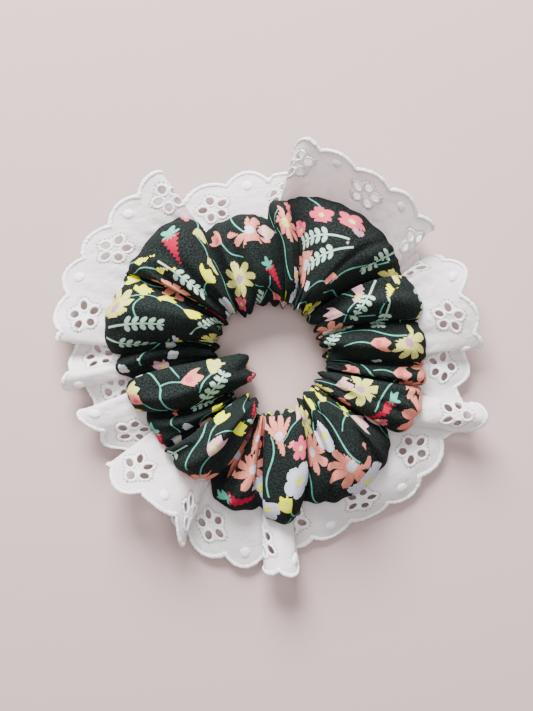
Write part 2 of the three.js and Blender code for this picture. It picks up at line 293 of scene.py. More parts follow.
def cover_column(index, part, around, wrinkles):
    """One column of the cover: its section, from the seam over the crest and back beneath."""
    side, lift = np.cos(around * math.pi), np.sin(around * math.pi)
    upper = around <= 1
    before, puff, after = PUFFS[index - 1], PUFFS[index], PUFFS[(index + 1) % len(PUFFS)]
    span = (after[0] - puff[0]) % 360
    rounded = mix(part, (1 - math.cos(math.pi * part)) / 2, 0.8)
    outer = puff[0] + span * rounded
    inner_span = (after[1] - puff[1] + 180) % 360 - 180
    inner = puff[1] + inner_span * mix(part, rounded, 0.7)

    # The puff swells from the creases at its sides.
    steep = mix(0.9 - 0.2 * puff[6], 0.9 + 0.2 * after[6], part)
    bulge = math.sin(math.pi * part) ** min(1.3, max(0.45, steep))
    reach = mix(mix(puff[2], after[2], part), puff[3], bulge)
    valley = 0.6 * mix(min(before[4], puff[4]), min(puff[4], after[4]), part)
    top = mix(valley, puff[4], bulge)
    inner_radius = mix(18.0, puff[5], math.sin(math.pi * part) ** 0.42)
    seam, seam_height = wanted_seam(outer)
    seam = float(np.clip(seam, reach - MOST_TUCK, reach - LEAST_TUCK))
    tucked = (reach - seam - LEAST_TUCK) / (MOST_TUCK - LEAST_TUCK)
    seam_height = mix(float(seam_height), 4.0, tucked)

    middle = (reach + inner_radius) / 2
    out = np.where(upper, reach, seam)
    half = np.where(side > 0, out - middle, middle - inner_radius)
    radius = middle + half * np.sign(side) * np.abs(side) ** 0.9
    floor = mix(2.6, 0.35, bulge)
    arc = np.where(upper, np.abs(lift) ** 0.8, -np.abs(lift) ** 0.45)
    base = mix(seam_height, SEAM_HEIGHT, (1 - side) / 2)
    height = base + arc * np.where(upper, top - base, base - floor)
    tuck = np.where(upper, 1 - smooth(0, 0.1, around), 0)
    radius = mix(radius, seam, tuck)

    # Fine pleats at the elastic, deepest below the crest, and gathers along the seam.
    pleats = max(2, round(math.radians(inner_span) * 17 / PLEAT_WIDTH))
    waver = 0.3 * math.sin(TAU * part + wrinkles.shift)
    pleat = 1 - abs(math.sin(math.pi * pleats * part + waver)) ** 0.8
    on_wall = smooth(0.88, 1.02, around) * (1 - smooth(1.5, 1.8, around))
    depth = pleat * (CREST_PLEAT * smooth(0.5, 0.9, around) * upper + WALL_PLEAT * on_wall)
    beneath = smooth(1.25, 1.4, around) * (1 - smooth(1.8, 1.95, around))
    depth = depth + UNDER_GATHER * beneath * (0.5 + 0.5 * math.cos(TAU * span / UNDER_STEP * part))
    gather = 0.5 + 0.5 * math.sin(TAU * span / SEAM_STEP * part + wrinkles.shift)
    near_seam = np.exp(-((around / 0.2) ** 2)) + np.exp(-(((2 - around) / 0.2) ** 2))
    clear = smooth(0, 0.08, around) * smooth(0, 0.08, 2 - around)
    depth = depth + SEAM_GATHER * gather * near_seam * clear
    calm = mix(0.35, 1.0, smooth(0.1, 0.4, around) * (1 - smooth(1.6, 1.9, around)))
    depth = depth + wrinkles.depth(part, span, around) * clear * calm * min(1, 3 * bulge)
    radius = radius - depth * side
    height = height - depth * lift
    beside_band = (side < -0.5) & (np.abs(height - SEAM_HEIGHT) < BAND_WIDTH)
    radius = np.where(beside_band, np.minimum(radius, BAND_RADIUS - BAND_GAP), radius)

    # A puff leans over one neighbour and under the other.
    over = puff[6] * max(0, math.sin(math.pi * min(1, part / 0.3))) * (1 - part)
    back = after[6] * max(0, math.sin(math.pi * min(1, (1 - part) / 0.3))) * part
    angle = mix(outer, inner, (1 - side) / 2)
    angle = angle - np.degrees((over + back) * np.clip(lift, 0, 1) / radius)
    # One that reaches far into the hole ends in a round knob.
    knob = 0.5 * max(0, KNOB_FROM - puff[5]) * math.sin(TAU * part)
    angle = angle - np.degrees(knob * ((1 - side) / 2) ** 4 / radius)
    return ring(angle, radius, np.maximum(height, 0.3))


def cover_grid():
    draw = random.Random(7)
    spans = [(PUFFS[(index + 1) % len(PUFFS)][0] - puff[0]) % 360 for index, puff in enumerate(PUFFS)]
    wrinkles = [Wrinkles(draw, span) for span in spans]
    around = np.concatenate([np.linspace(0, 1, TOP_ROWS), np.linspace(1, 2, UNDER_ROWS)[1:]])
    found = [cover_column(index, part, around, wrinkles[index]) for index, part in puff_columns()]
    return np.array(found)


def path_length(points, axis):
    steps = np.linalg.norm(np.diff(points, axis=axis), axis=-1)
    return np.insert(np.cumsum(steps, axis=axis), 0, 0, axis=axis)


COVER = cover_grid()
# Flat cloth places: along the strip and across it.
CREST = np.concatenate([COVER, COVER[:1]])[:, 12:44].mean(axis=1)
COVER_ALONG = path_length(CREST, 0)
COVER_ACROSS = path_length(COVER, 1).mean(axis=0)


# --- The lace: a flat pattern, then its folds ----------------------------------------------

FOLD_STEPS = 24
HOLE_RING, HOLE_LONG, HOLE_WIDE = 3.25, 1.55, 1.3
HOLES = 5
GRID = 1.0
GATHER_WIDTH = 5.5
LACE_THICKNESS = 0.3
# Seen from above, an edge over this level looks further out than it is.
VIEW_HEIGHT, VIEW_LEVEL = 500, 10
# Where each flower sits in its repeat, and how many repeats past the first fold the strip starts.
FLOWER_PHASE = 0.6
LACE_START = 1.9


def eased(rows, place):
    """Catmull-Rom through the rows at a place counted in rows."""
    start = np.clip(np.floor(place).astype(int), 1, len(rows) - 3)
    part = (place - start)[:, None]
    a, b, c, d = (rows[start + step] for step in (-1, 0, 1, 2))
    bend = 2 * a - 5 * b + 4 * c - d + (3 * (b - c) + d - a) * part
    return b + 0.5 * part * (c - a + part * bend)


def seam_at(angle):
    seam = COVER[:, 0]
    angles = np.degrees(np.arctan2(seam[:, 1], seam[:, 0]))
    radii = np.hypot(seam[:, 0], seam[:, 1])
    radius = np.interp(angle, *sorted_by(angles, radii), period=360)
    return radius, np.interp(angle, *sorted_by(angles, seam[:, 2]), period=360)


def sorted_by(keys, values):
    order = np.argsort(keys)
    return keys[order], values[order]


FOLD_ROWS = fold_table()


def folded(place, across):
    """The lace's middle surface, from a place counted in folds and a distance from the seam."""
    seam_angle, edge_angle, out, rise, arch = eased(FOLD_ROWS, place + 1).T
    seam_radius, seam_height = seam_at(seam_angle)
    inside = np.minimum(across, 0)
    part = np.maximum(across, 0) / LACE_DEPTH
    seam = ring(seam_angle, seam_radius + inside, seam_height)
    edge = ring(edge_angle, out * (1 + (VIEW_LEVEL - rise) / VIEW_HEIGHT), rise)
    point = mix(seam, edge, part[:, None])
    point[:, 2] += arch * np.sin(np.pi * np.clip(part, 0, 1))
    return point


def lace_lengths():
    places = np.linspace(0, len(FOLDS), len(FOLDS) * FOLD_STEPS + 1)
    middle = folded(places, np.full(len(places), FLOWER_MIDDLE))
    return places, path_length(middle, 0)


FOLD_PLACES, FOLD_LENGTHS = lace_lengths()
LACE_LENGTH = FLOWERS * PITCH


def fold_at(along):
    """The place in folds of a length along the flat lace, whose flowers are evenly spaced."""
    part = (along / PITCH + LACE_START) / FLOWERS % 1
    return np.interp(part * FOLD_LENGTHS[-1], FOLD_LENGTHS, FOLD_PLACES)


def on_lace(flat):
    """Flat lace places (along, across, above) taken onto the folded lace."""

    def at(along, across):
        return folded(fold_at(along), across)

    step = 0.15
    along, across, above = flat.T
    onward = at(along + step, across) - at(along - step, across)
    outward = at(along, across + step) - at(along, across - step)
    normal = np.cross(outward, onward)
    normal /= np.maximum(np.linalg.norm(normal, axis=1, keepdims=True), 1e-9)
    gathers = np.sin(TAU * along / GATHER_WIDTH + 2 * np.sin(along / 17))
    ripple = 0.7 * gathers * np.exp(-np.maximum(across, 0) / 7) * smooth(0.5, 4, across)
    found = at(along, across) + normal * (above + ripple)[:, None]
    found[:, 2] = np.maximum(found[:, 2], 0.2)
    return found


def edge_at(along):
    """The scalloped free edge, two scallops to a flower."""
    hump = np.abs(np.sin(TAU * (along / PITCH - FLOWER_PHASE + 0.25))) ** 0.7
    return LACE_DEPTH - SCALLOP_DEPTH * (1 - hump)


def hole_loop(hole, points, grow=0.0):
    """One petal hole of a flower whose middle is at 0, 0."""
    turn = np.linspace(0, TAU, points, endpoint=False)
    long, wide = (HOLE_LONG + grow) * np.cos(turn), (HOLE_WIDE + grow) * np.sin(turn)
    lean = TAU * hole / HOLES + math.pi / 2
    x = (HOLE_RING + long) * math.cos(lean) - wide * math.sin(lean)
    y = (HOLE_RING + long) * math.sin(lean) + wide * math.cos(lean)
    return np.stack([x, y], axis=-1)


def lace_tile():
    """One repeat of the lace, flat, with its five holes cut: points and triangles."""
    rows = round((LACE_DEPTH + HEADING) / GRID)
    columns = round(PITCH / GRID)
    x = np.linspace(0, PITCH, columns + 1)
    rim = edge_at(x)
    grid = []
    for row in range(rows + 1):
        grid.append(np.stack([x, -HEADING + (rim + HEADING) * row / rows], axis=-1))
    points = np.concatenate(grid)
    middle = np.array([PITCH * FLOWER_PHASE, FLOWER_MIDDLE])
    loops = [hole_loop(hole, 14) + middle for hole in range(HOLES)]
    wide = [hole_loop(hole, 14, 0.45) + middle for hole in range(HOLES)]
    keep = np.ones(len(points), bool)
    for loop in wide:
        keep &= ~inside(points, loop)
    points = points[keep]
    edges = []
    for loop in loops:
        first = len(points)
        points = np.concatenate([points, loop])
        edges += [(first + step, first + (step + 1) % len(loop)) for step in range(len(loop))]
    made = delaunay_2d_cdt([Vector(point) for point in points], edges, [], 0, 1e-6)
    flat, faces = np.array([tuple(point) for point in made[0]]), np.array(made[2])
    centres = flat[faces].mean(axis=1)
    kept = centres[:, 1] < edge_at(centres[:, 0]) + 0.05
    for loop in loops:
        kept &= ~inside(centres, loop)
    return flat, faces[kept]


def inside(points, loop):
    """Which points lie in a convex loop that runs anticlockwise."""
    found = np.ones(len(points), bool)
    for here, onward in zip(loop, np.roll(loop, -1, axis=0)):
        run, away = onward - here, points - here
        found &= run[0] * away[:, 1] - run[1] * away[:, 0] > 0
    return found


def joined(points, faces, count, step):
    """Copies of a flat tile side by side, with the points that meet made one."""
    everywhere, all_faces = [], []
    for copy in range(count):
        everywhere.append(points + np.array([copy * step, 0]))
        all_faces.append(faces + copy * len(points))
    places = np.concatenate(everywhere)
    keys = np.round(places * 1000).astype(int)
    _, first, back = np.unique(keys, axis=0, return_index=True, return_inverse=True)
    return places[first], back.ravel()[np.concatenate(all_faces)]


def make_lace(material):
    tile, faces = lace_tile()
    flat, faces = joined(tile, faces, FLOWERS, PITCH)
    places = np.column_stack([flat, np.zeros(len(flat))])
    places[:, 0] = np.clip(places[:, 0], 0.2, LACE_LENGTH - 0.2)
    piece = add_mesh("lace_frill", on_lace(places), faces, material)
    store(piece, "flat", places)
    thick = piece.modifiers.new("cloth thickness", "SOLIDIFY")
    thick.thickness = LACE_THICKNESS * MM
    thick.offset = 0
    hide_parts("lace_trim")


def tube_on_lace(name, paths, half_wide, half_high, sides, closed, material, nodes, lumpy=0.0):
    """Thread laid on the lace: one tube for each flat path of (along, across)."""
    draw = random.Random(11)
    points, faces, coords = [], [], []
    turn = np.linspace(0, TAU, sides, endpoint=False)
    for path in paths:
        ahead = np.roll(path, -1, axis=0) - np.roll(path, 1, axis=0)
        if not closed:
            ahead[0], ahead[-1] = path[1] - path[0], path[-1] - path[-2]
        ahead /= np.linalg.norm(ahead, axis=1, keepdims=True)
        away = np.stack([-ahead[:, 1], ahead[:, 0]], axis=-1)
        lumps = np.array([[1 + draw.uniform(-lumpy, lumpy)] for _ in path])
        wide = path[:, None] + away[:, None] * (lumps * half_wide * np.cos(turn))[:, :, None]
        high = lumps * half_high * np.sin(turn)
        flat = np.concatenate([wide, high[..., None]], axis=-1).reshape(-1, 3)
        base = sum(len(group) for group in points)
        faces.append(grid_faces(len(path), sides, closed, True) + base)
        run = np.insert(np.cumsum(np.linalg.norm(np.diff(path, axis=0), axis=1)), 0, 0)
        across = np.broadcast_to(turn, wide.shape[:2])
        along = np.broadcast_to(run[:, None], wide.shape[:2])
        coords.append(np.stack([along, across, 0 * across], axis=-1).reshape(-1, 3))
        points.append(on_lace(flat))
    piece = add_mesh(name, np.concatenate(points), np.concatenate(faces), material)
    store(piece, "thread", np.concatenate(coords))
    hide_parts(*nodes)


def flower_middles():
    return [np.array([(index + FLOWER_PHASE) * PITCH, FLOWER_MIDDLE]) for index in range(FLOWERS)]


def make_embroidery(material):
    rims = []
    for middle in flower_middles():
        rims += [hole_loop(hole, 18, 0.3) + middle for hole in range(HOLES)]
    names = [f"eyelet_flower_{index + 1:02d}" for index in range(FLOWERS)]
    tube_on_lace("stitched_eyelet_rims", rims, 0.52, 0.45, 8, True, material, names)

    steps = FLOWERS * 90
    along = np.linspace(0.25, LACE_LENGTH - 0.25, steps)
    edge = np.stack([along, edge_at(along) + 0.1], axis=-1)
    size = (EDGE_CORD, EDGE_CORD * 0.85, 10)
    tube_on_lace("scallop_cord", [edge], *size, False, material, ["scallop_edge_cord"], lumpy=0.22)
    make_dots(material)


def make_dots(material):
    """Satin dots: low domes with an oval outline."""
    rings, sides = 5, 18
    points, faces, coords = [], [], []
    for index in range(FLOWERS):
        middle = np.array([(index + FLOWER_PHASE - 0.5) * PITCH, DOT_MIDDLE])
        base = index * (rings * sides + 1)
        flat = [[*middle, DOT_RISE]]
        for step in range(1, rings + 1):
            rise = step / rings * math.pi / 2
            for side in range(sides):
                turn = TAU * side / sides
                x = DOT_WIDE * math.sin(rise) * math.cos(turn)
                y = DOT_LONG * math.sin(rise) * math.sin(turn)
                flat.append([middle[0] + x, middle[1] + y, DOT_RISE * math.cos(rise)])
        flat = np.array(flat) + [0, 0, DOT_LIFT]
        points.append(on_lace(flat))
        coords.append(flat)
        faces += [[base, base + 1 + side, base + 1 + (side + 1) % sides] for side in range(sides)]
        faces += (grid_faces(rings, sides, False, True) + base + 1)[:, ::-1].tolist()
    points, coords = np.concatenate(points), np.concatenate(coords)
    piece = add_mesh("satin_dots", points, faces, material)
    store(piece, "thread", coords)
    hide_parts(*[f"raised_dot_{index + 1:02d}" for index in range(FLOWERS)])


def make_cover(material):
    columns, rows = COVER.shape[:2]
    faces = grid_faces(columns, rows, True, False)
    piece = add_mesh("floral_cover", COVER.reshape(-1, 3), faces, material)
    store_print(piece, columns, rows)
    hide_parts("fabric_cover")


# --- The print: flowers scattered over the flat cloth --------------------------------------

PALETTE = {
    "salmon": "C97C6B", "straw": "C4C06A", "yellow": "D6D800", "cream": "CFCB6A",
    "mint": "9DBBA9", "teal": "559F8C", "crimson": "9C0C30", "lavender": "BCBCCA",
    "rose": "BE4F63", "soft pink": "C796A1", "mauve": "A3808C",
}
DAISY, TULIP, SPRIG, TAPER, STEM = 1, 2, 3, 4, 5
# Each kind of motif: its drawing, size, petals, petal width, petal colour and heart colour.
MOTIFS = {
    "salmon daisy": (DAISY, 8.2, 9, 0.17, "salmon", "lavender"),
    "golden daisy": (DAISY, 7.2, 8, 0.17, "salmon", "straw"),
    "straw daisy": (DAISY, 7.4, 8, 0.19, "straw", "mauve"),
    "white bloom": (DAISY, 5.6, 5, 0.42, "lavender", "yellow"),
    "white floret": (DAISY, 2.4, 4, 0.5, "lavender", "yellow"),
    "rose flower": (DAISY, 3.7, 5, 0.36, "rose", "straw"),
    "mauve berries": (DAISY, 2.6, 3, 0.42, "mauve", "mauve"),
    "tulip": (TULIP, 6.6, 3, 0.5, "yellow", "cream"),
    "pink tulip": (TULIP, 8.5, 3, 0.4, "soft pink", "straw"),
    "straw tulip": (TULIP, 7.0, 3, 0.5, "straw", "straw"),
    "salmon tulip": (TULIP, 7.0, 2, 0.45, "salmon", "rose"),
    "mint sprig": (SPRIG, 12.5, 5, 0.5, "mint", "mint"),
    "crimson taper": (TAPER, 9.5, 4, 0.22, "crimson", "teal"),
    "teal stem": (STEM, 11.0, 1, 0.1, "teal", "teal"),
}
# Where motifs show on the top of the ring: kind, place in plan, and the way it points.
PRINT = [
    ("crimson taper", -33, 40, -72), ("rose flower", -28, 47, 0), ("straw tulip", -23.5, 43, -70),
    ("mint sprig", -31, 28, -38), ("tulip", -45, 32, 10), ("tulip", -37, 29, 5),
    ("tulip", -43, 26, 165), ("tulip", -42, 20, 80), ("tulip", -37, 20, -10),
    ("tulip", -28, 16, -25), ("straw daisy", -51, 17, 0), ("mint sprig", -48, 11, 0),
    ("mint sprig", -50, 5, -15), ("white floret", -49, -4, 0), ("white floret", -43, -1, 0),
    ("white floret", -43, -5, 0), ("white floret", -33, 4, 0), ("white floret", -32, 0.5, 0),
    ("teal stem", -38, 4, 15), ("straw tulip", -48, -12, 20), ("salmon tulip", -42, -15, 160),
    ("teal stem", -36, -12, -60), ("salmon tulip", -29, -8, 20), ("mint sprig", -22, -14, 45),
    ("straw tulip", -19, -5, 60), ("salmon tulip", -31, -19, 50), ("crimson taper", -38, -25, -70),
    ("tulip", -19, -18, 40), ("tulip", -17.5, -22, 65), ("tulip", -12, -24, 20),
    ("tulip", -7, -13, 70), ("white floret", -31, -27, 0), ("white floret", -27, -23, 0),
    ("pink tulip", -19, -32, 70), ("teal stem", -24, -28, 70), ("salmon daisy", -5, -37, 0),
    ("crimson taper", -14, -47, -30), ("salmon daisy", 3, -26, 0), ("white bloom", 10, -41, 0),
    ("white bloom", -1, -51, 0), ("teal stem", 0, -36, -85), ("straw daisy", 7, -15, 0),
    ("salmon daisy", 27, -36, 0), ("tulip", 13, -11, 100), ("tulip", 17, -14, 100),
    ("tulip", 14, -17, 100), ("tulip", 25, -19, 90), ("white bloom", 18, -26, 0),
    ("teal stem", 22, -25, -50), ("salmon daisy", 14, -31, 0), ("teal stem", 14, -44, -60),
    ("pink tulip", 22, -9, 0), ("pink tulip", 27, -19, -30), ("crimson taper", 40, -14, -115),
    ("rose flower", 36, -21, 0), ("teal stem", 40, -9, 30), ("salmon daisy", 50, -20, 0),
    ("salmon tulip", 41, -5, 0), ("salmon daisy", 55, -3, 0), ("teal stem", 32, -3, -30),
    ("salmon tulip", 30, -5, 150), ("straw daisy", 46, 5, 0), ("straw tulip", 49, 13, 20),
    ("white floret", 27, 4.5, 0), ("teal stem", 35, 9, 0), ("salmon tulip", 33, 5, 0),
    ("tulip", 39, 20, 90), ("mint sprig", 52, 25, -120), ("mint sprig", 39, 15, -120),
    ("rose flower", 17, 47, 0), ("rose flower", 27, 45, 0), ("mint sprig", 19, 40, 185),
    ("mint sprig", 21, 35, 195), ("mint sprig", 40, 34, 205), ("salmon tulip", 18, 25, 10),
    ("teal stem", 22, 21, 15), ("pink tulip", 28, 18, 60), ("pink tulip", 24, 14, 170),
    ("mint sprig", 33, 21, -130), ("golden daisy", 5, 45, 0), ("salmon daisy", -7, 42, 0),
    ("straw daisy", -10, 26, 0), ("crimson taper", 0, 30, -60), ("salmon tulip", -16, 38, 150),
    ("straw tulip", -20, 33, -60), ("teal stem", 5, 34, -75), ("teal stem", -2, 20, 70),
    ("mauve berries", 26, 38, 0), ("mauve berries", 29, 41, 0), ("teal stem", 30, 30, 20),
    ("salmon tulip", 1, 22, -60), ("rose flower", 7, 50, 0), ("teal stem", -14, 49, -60),
]
SCATTER = ["salmon daisy", "tulip", "mint sprig", "white floret", "teal stem", "straw daisy"]
SCATTER += ["rose flower", "crimson taper", "tulip", "pink tulip", "white bloom", "tulip"]
SCATTER_GAP = 9.0


def linear(code):
    """A colour as the shaders use it, from its usual six letters."""
    shares = [int(code[start:start + 2], 16) / 255 for start in (0, 2, 4)]
    return [share / 12.92 if share <= 0.04 else ((share + 0.055) / 1.055) ** 2.4 for share in shares]


def cover_flat(columns, rows):
    along, across = np.meshgrid(COVER_ALONG[:columns], COVER_ACROSS[:rows], indexing="ij")
    return np.stack([along, across], axis=-1)


def set_out_print(flat):
    """Flat places of every motif: those that show on top first, then a scatter between them."""
    top = COVER[:, :TOP_ROWS].reshape(-1, 3)
    cloth = flat[:, :TOP_ROWS].reshape(-1, 2)

    def nearest(x, y):
        off = (top[:, 0] - x) ** 2 + (top[:, 1] - y) ** 2 - 0.15 * top[:, 2]
        return cloth[np.argmin(off)]

    found = []
    for kind, x, y, points in PRINT:
        turn = math.radians(points)
        place = nearest(x, y)
        run = nearest(x + 3 * math.cos(turn), y + 3 * math.sin(turn)) - place
        found.append((kind, *place, math.atan2(run[1], run[0])))
    draw = random.Random(21)
    length, width = COVER_ALONG[-1], COVER_ACROSS[-1]
    for _ in range(1500):
        x, y = draw.uniform(0, length), draw.uniform(0, width)
        kind, turn = draw.choice(SCATTER), draw.uniform(0, TAU)
        if all(math.hypot(x - other[1], y - other[2]) > SCATTER_GAP for other in found):
            found.append((kind, x, y, turn))
    return found


def store_print(piece, columns, rows):
    """Each face takes the motif it is nearest to, and its corners their places on that motif."""
    flat = cover_flat(columns, rows)
    motifs = set_out_print(flat)
    length = COVER_ALONG[-1]
    corners = np.array([tuple(face.vertices) for face in piece.data.polygons])
    places = flat.reshape(-1, 2)[corners]
    seam_faces = places[:, :, 0].max(axis=1) - places[:, :, 0].min(axis=1) > length / 2
    places[seam_faces, :, 0] += np.where(places[seam_faces, :, 0] < length / 2, length, 0)
    centres = places.mean(axis=1)
    best = np.full(len(centres), np.inf)
    chosen = np.zeros((len(centres), 3))
    widths = np.zeros(len(centres))
    petal, heart = np.zeros((len(centres), 3)), np.zeros((len(centres), 3))
    local = np.zeros(places.shape)
    for name, x, y, turn in motifs:
        kind, size, petals, wide, color, middle = MOTIFS[name]
        along = np.array([math.cos(turn), math.sin(turn)])
        across = np.array([-along[1], along[0]])
        away = places - np.array([x, y])
        away[:, :, 0] -= length * np.round(away[:, :1, 0] / length)
        on = np.stack([away @ across * -1, away @ along], axis=-1)
        middle_on = on.mean(axis=1)
        reach = np.clip(middle_on[:, 1], -0.9 * size, 0.9 * size) if kind > DAISY else 0
        off = np.hypot(middle_on[:, 0], middle_on[:, 1] - reach)
        off = off / (0.45 * size if kind > DAISY else size)
        mine = off < best
        best[mine] = off[mine]
        chosen[mine] = [kind, size, petals]
        widths[mine] = wide
        petal[mine], heart[mine] = linear(PALETTE[color]), linear(PALETTE[middle])
        local[mine] = on[mine]
    spread = np.repeat(chosen[:, :1], 4, axis=1)[..., None]
    store(piece, "motif", np.concatenate([local, spread], axis=-1), domain="CORNER")
    form = np.column_stack([chosen[:, 1:], widths])
    for label, values in (("motif_form", form), ("petal_color", petal), ("heart_color", heart)):
        store(piece, label, np.repeat(values, 4, axis=0), domain="CORNER")
    store(piece, "cloth", np.concatenate([places, 0 * places[..., :1]], axis=-1), domain="CORNER")


# --- Materials -----------------------------------------------------------------------------


class Sum:
    """A number in a shader, so that node maths reads as ordinary sums."""

    def __init__(self, tree, socket):
        self.tree, self.socket = tree, socket

    def using(self, operation, *others):
        node = self.tree.nodes.new("ShaderNodeMath")
        node.operation = operation
        for slot_in, value in zip(node.inputs, (self, *others)):
            feed(self.tree, value, slot_in)
        return Sum(self.tree, node.outputs[0])

    def __add__(self, other):
        return self.using("ADD", other)

    def __sub__(self, other):
        return self.using("SUBTRACT", other)

    def __mul__(self, other):
        return self.using("MULTIPLY", other)

    def __truediv__(self, other):
        return self.using("DIVIDE", other)

    __radd__ = __add__

    def __lt__(self, other):
        """1 where this is well under the other, with an edge a tenth of a millimetre wide."""
        gap = (self - other) * -5.0 + 0.5
        return gap.using("MAXIMUM", 0.0).using("MINIMUM", 1.0)


def feed(tree, value, slot_in):
    """Give a node's input a sum, another node's output, or a plain value."""
    if isinstance(value, Sum):
        tree.links.new(value.socket, slot_in)
    elif isinstance(value, bpy.types.NodeSocket):
        tree.links.new(value, slot_in)
    else:
        slot_in.default_value = value


class Shader:
    """A material and the few kinds of node that the cloths share."""

    def __init__(self, name, roughness, sheen=0.0, specular=0.25):
        self.material = bpy.data.materials.new(name)
        self.material.use_nodes = True
        self.tree = self.material.node_tree
        self.base = self.tree.nodes["Principled BSDF"]
        self.base.inputs["Roughness"].default_value = roughness
        self.base.inputs["Sheen Weight"].default_value = sheen
        self.base.inputs["Specular IOR Level"].default_value = specular

    def node(self, kind, links=(), **settings):
        made = self.tree.nodes.new(kind)
        for key, value in settings.items():
            setattr(made, key, value)
        for name, value in dict(links).items():
            feed(self.tree, value, made.inputs[name])
        return made

    def attribute(self, name):
        return self.node("ShaderNodeAttribute", attribute_name=name).outputs["Vector"]

    def parts(self, vector):
        split = self.node("ShaderNodeSeparateXYZ", {"Vector": vector})
        return [Sum(self.tree, output) for output in split.outputs]

    def noise(self, vector, scale, detail):
        links = {"Vector": vector, "Scale": scale, "Detail": detail}
        return Sum(self.tree, self.node("ShaderNodeTexNoise", links).outputs[0])

    def blend(self, share, first, second):
        made = self.node("ShaderNodeMix", data_type="RGBA")
        feed(self.tree, share, made.inputs[0])
        for slot_in, value in ((made.inputs[6], first), (made.inputs[7], second)):
            feed(self.tree, (*value, 1) if isinstance(value, list) else value, slot_in)
        return made.outputs[2]

    def color(self, value):
        self.tree.links.new(value, self.base.inputs["Base Color"])

    def bump(self, height, distance, strength):
        links = {"Height": height, "Distance": distance, "Strength": strength}
        made = self.node("ShaderNodeBump", links)
        self.tree.links.new(made.outputs[0], self.base.inputs["Normal"])


def weave(x, y, pitch):
    """Over-and-under threads of a plain weave, 0 to 1."""
    across = (x * (TAU / pitch)).using("SINE")
    along = (y * (TAU / pitch)).using("SINE")
    return (across * along) * 0.5 + 0.5


